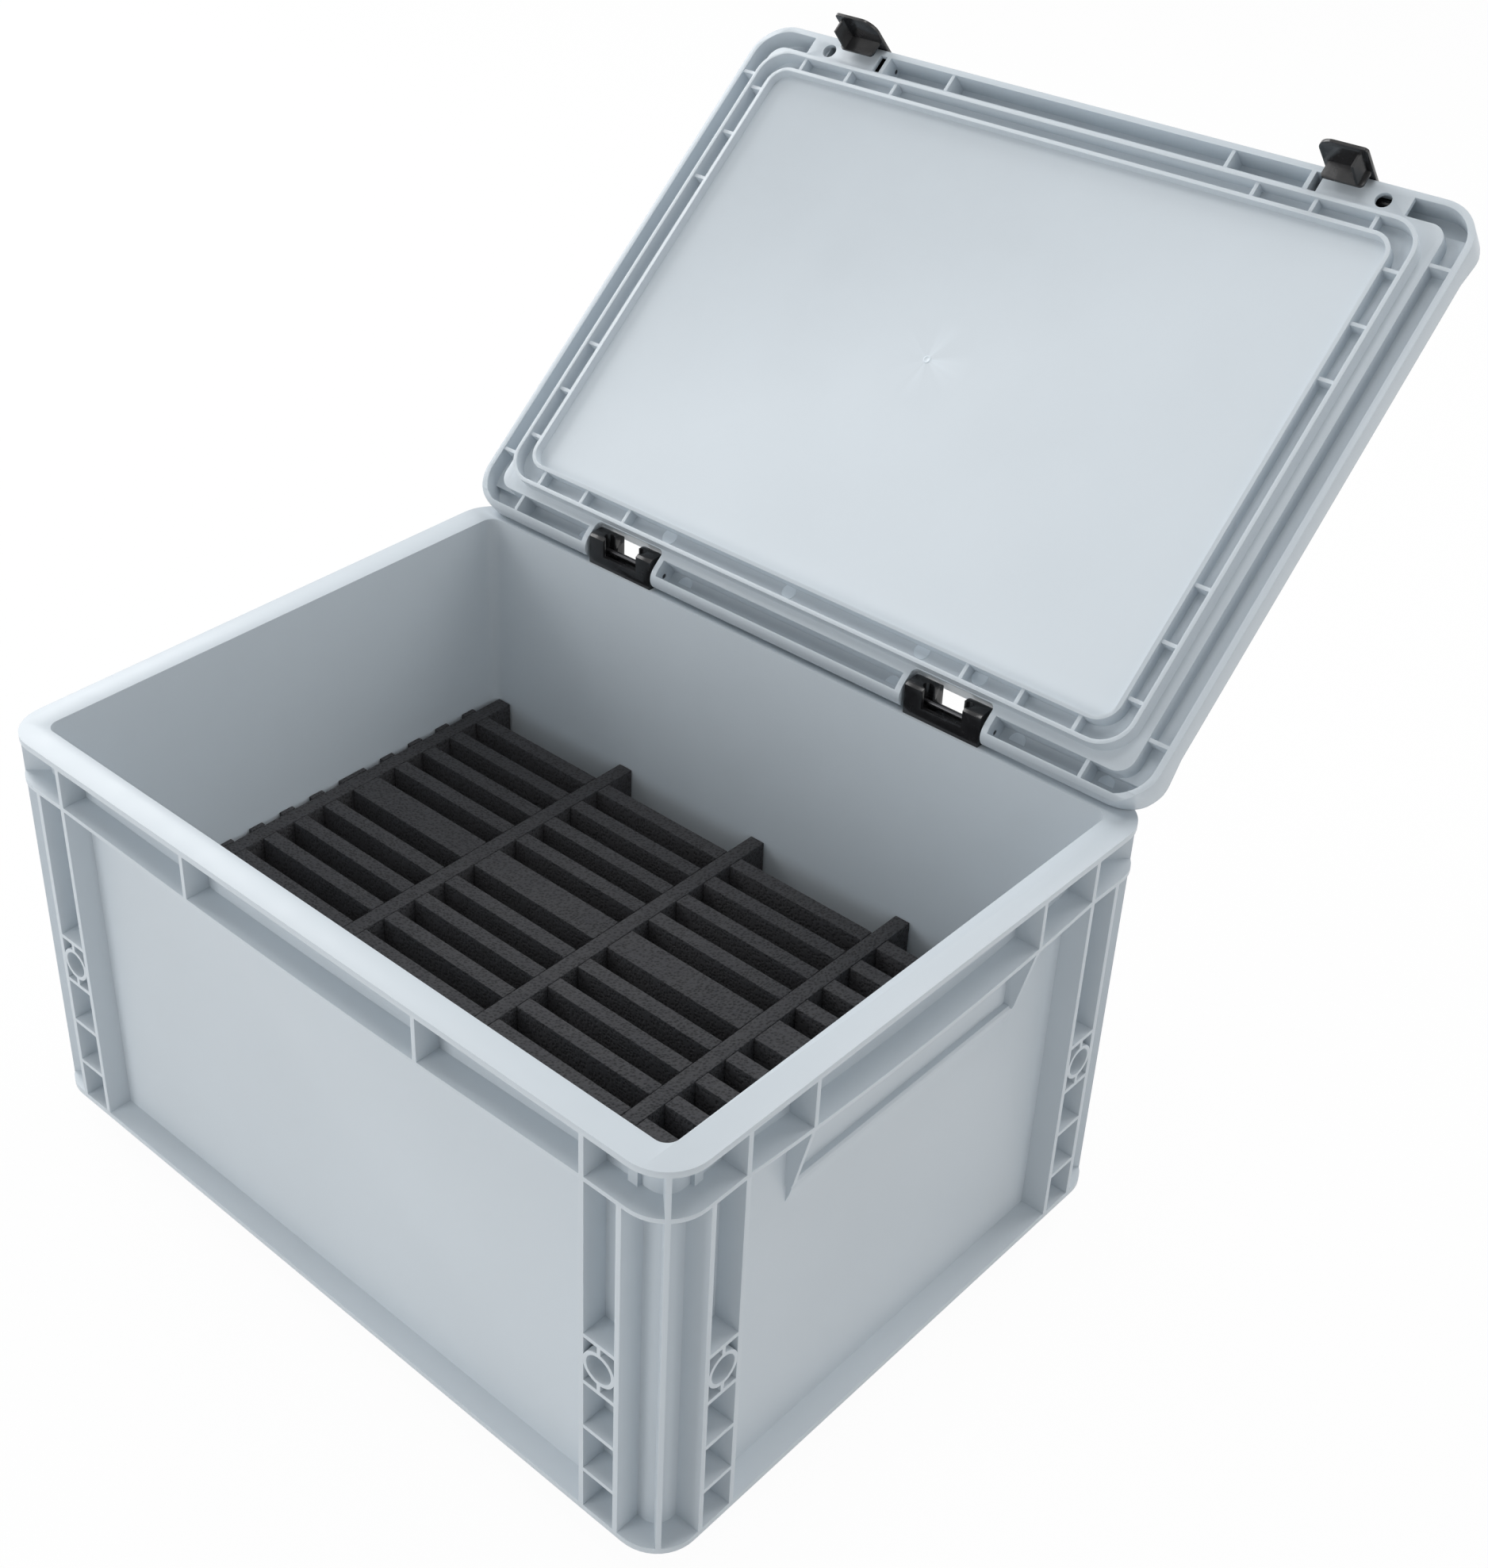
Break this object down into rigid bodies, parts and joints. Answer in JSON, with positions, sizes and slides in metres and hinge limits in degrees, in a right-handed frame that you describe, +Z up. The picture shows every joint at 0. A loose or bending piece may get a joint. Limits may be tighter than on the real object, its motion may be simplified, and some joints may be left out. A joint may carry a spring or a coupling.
{
  "type": "stacking container with hinged lid",
  "caption": "Moulded stacking container with a hinged snap-latch lid and a slotted foam insert that stands mobile phones on edge for safekeeping.",
  "frame": {"origin": "centre of the base, on the surface the container stands on", "axes": "+X along the long sides, towards the right-hand side seen from the front; +Y towards the hinges at the back; +Z up"},
  "size_m": [0.4, 0.5183, 0.4439],
  "materials": {
    "box_plastic": "moulded light blue-grey polypropylene, fine satin, smooth",
    "lid_plastic": "moulded light blue-grey polypropylene, fine satin, smooth",
    "clip_plastic": "black glossy moulded plastic",
    "pin_steel": "thin steel wire, blackened",
    "insert_foam": "black closed-cell foam, cut faces with fine cells"
  },
  "bodies": {
    "container": {"container": "box_plastic", "hinge_block_left": "clip_plastic", "hinge_block_right": "clip_plastic", "hinge_pin_left": "pin_steel", "hinge_pin_right": "pin_steel", "insert_base_pad": "insert_foam", "row_strip_1": "insert_foam", "row_strip_2": "insert_foam", "row_strip_3": "insert_foam", "row_strip_4": "insert_foam", "row_strip_5": "insert_foam", "row_strip_6": "insert_foam", "row_strip_7": "insert_foam", "row_strip_8": "insert_foam", "row_strip_9": "insert_foam", "row_strip_10": "insert_foam", "row_strip_11": "insert_foam", "row_strip_12": "insert_foam", "column_strip_1": "insert_foam", "column_strip_2": "insert_foam", "column_strip_3": "insert_foam", "column_strip_4": "insert_foam", "column_strip_5": "insert_foam"},
    "lid": {"lid": "lid_plastic", "latch_pin_left": "pin_steel", "latch_pin_right": "pin_steel"},
    "latch_left": {"latch_left": "clip_plastic"},
    "latch_right": {"latch_right": "clip_plastic"}
  },
  "joints": [
    {"name": "lid_hinge", "type": "hinge", "parent": "container", "child": "lid", "pos_m": [0, 0.143, 0.2275], "axis": [1, 0, 0], "range_deg": [0, 138.7]},
    {"name": "latch_left_pivot", "type": "hinge", "parent": "lid", "child": "latch_left", "pos_m": [-0.1383, 0.36131, 0.41597], "axis": [1, 0, 0], "range_deg": [-90, 0]},
    {"name": "latch_right_pivot", "type": "hinge", "parent": "lid", "child": "latch_right", "pos_m": [0.1383, 0.36131, 0.41597], "axis": [1, 0, 0], "range_deg": [-90, 0]}
  ]
}
